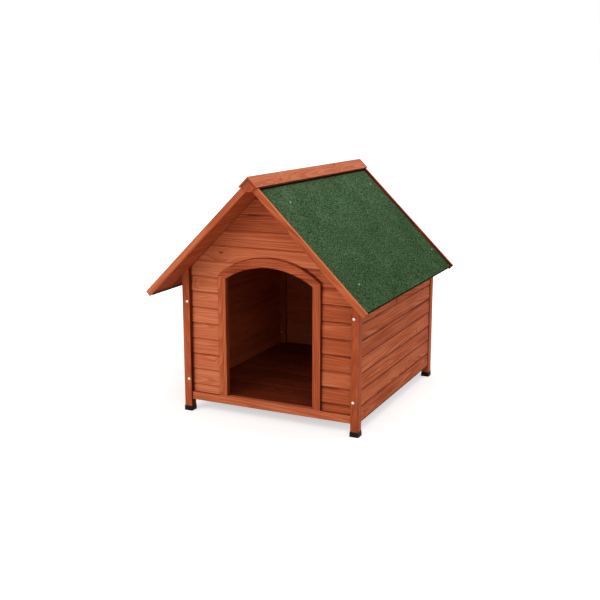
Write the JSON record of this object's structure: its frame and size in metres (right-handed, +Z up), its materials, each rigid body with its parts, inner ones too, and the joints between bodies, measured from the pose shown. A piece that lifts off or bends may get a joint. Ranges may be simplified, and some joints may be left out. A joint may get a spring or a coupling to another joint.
{
  "type": "dog house",
  "caption": "Timber dog house with lap-boarded walls, an arched doorway, a pitched green felt roof with a capped ridge, and square posts on plastic feet.",
  "frame": {"origin": "on the ground, under the middle of the overall width and length (the roof reaches further to the front than to the back)", "axes": "+X to the house's left-hand neighbour, that is right as seen from the front; +Y from the doorway to the back; +Z up"},
  "size_m": [0.9386, 1.105, 0.9919],
  "materials": {
    "frame_timber": "red-brown stained softwood, satin",
    "lap_boards": "red-brown stained softwood, satin",
    "inner_timber": "red-brown stained softwood, matt",
    "roof_deck": "stained board, matt",
    "roof_felt": "green mineral-surfaced bitumen felt",
    "foot_plastic": "black moulded plastic, matt",
    "zinc_steel": "bright zinc plate"
  },
  "bodies": {
    "root": {"bolt_nuts": "zinc_steel", "door_arch": "frame_timber", "door_jamb_left": "frame_timber", "door_jamb_right": "frame_timber", "floor_bearer": "inner_timber", "floor_boards": "inner_timber", "floor_ledger_left": "inner_timber", "floor_ledger_right": "inner_timber", "foot_cap_front_left": "foot_plastic", "foot_cap_front_right": "foot_plastic", "foot_cap_rear_left": "foot_plastic", "foot_cap_rear_right": "foot_plastic", "front_boards_left": "lap_boards", "front_boards_right": "lap_boards", "front_bottom_rail": "frame_timber", "front_verge_left": "frame_timber", "front_verge_right": "frame_timber", "gable_boards": "lap_boards", "gable_rafter_front_left": "inner_timber", "gable_rafter_front_right": "inner_timber", "gable_rafter_rear_left": "inner_timber", "gable_rafter_rear_right": "inner_timber", "post_bolts": "zinc_steel", "post_front_left": "frame_timber", "post_front_right": "frame_timber", "post_rear_left": "frame_timber", "post_rear_right": "frame_timber", "rear_boards": "lap_boards", "rear_bottom_rail": "frame_timber", "rear_verge_left": "frame_timber", "rear_verge_right": "frame_timber", "ridge_beam": "frame_timber", "ridge_cap_left": "frame_timber", "ridge_cap_right": "frame_timber", "roof_deck_left": "roof_deck", "roof_deck_right": "roof_deck", "roof_felt_left": "roof_felt", "roof_felt_right": "roof_felt", "roof_screws": "zinc_steel", "side_board_right_01": "lap_boards", "side_board_right_02": "lap_boards", "side_board_right_03": "lap_boards", "side_board_right_04": "lap_boards", "side_board_right_05": "lap_boards", "side_board_right_06": "lap_boards", "side_board_right_07": "lap_boards", "side_board_right_08": "lap_boards", "side_boards_left": "lap_boards", "side_cleat_front_left": "inner_timber", "side_cleat_front_right": "inner_timber", "side_cleat_rear_left": "inner_timber", "side_cleat_rear_right": "inner_timber"}
  },
  "joints": []
}
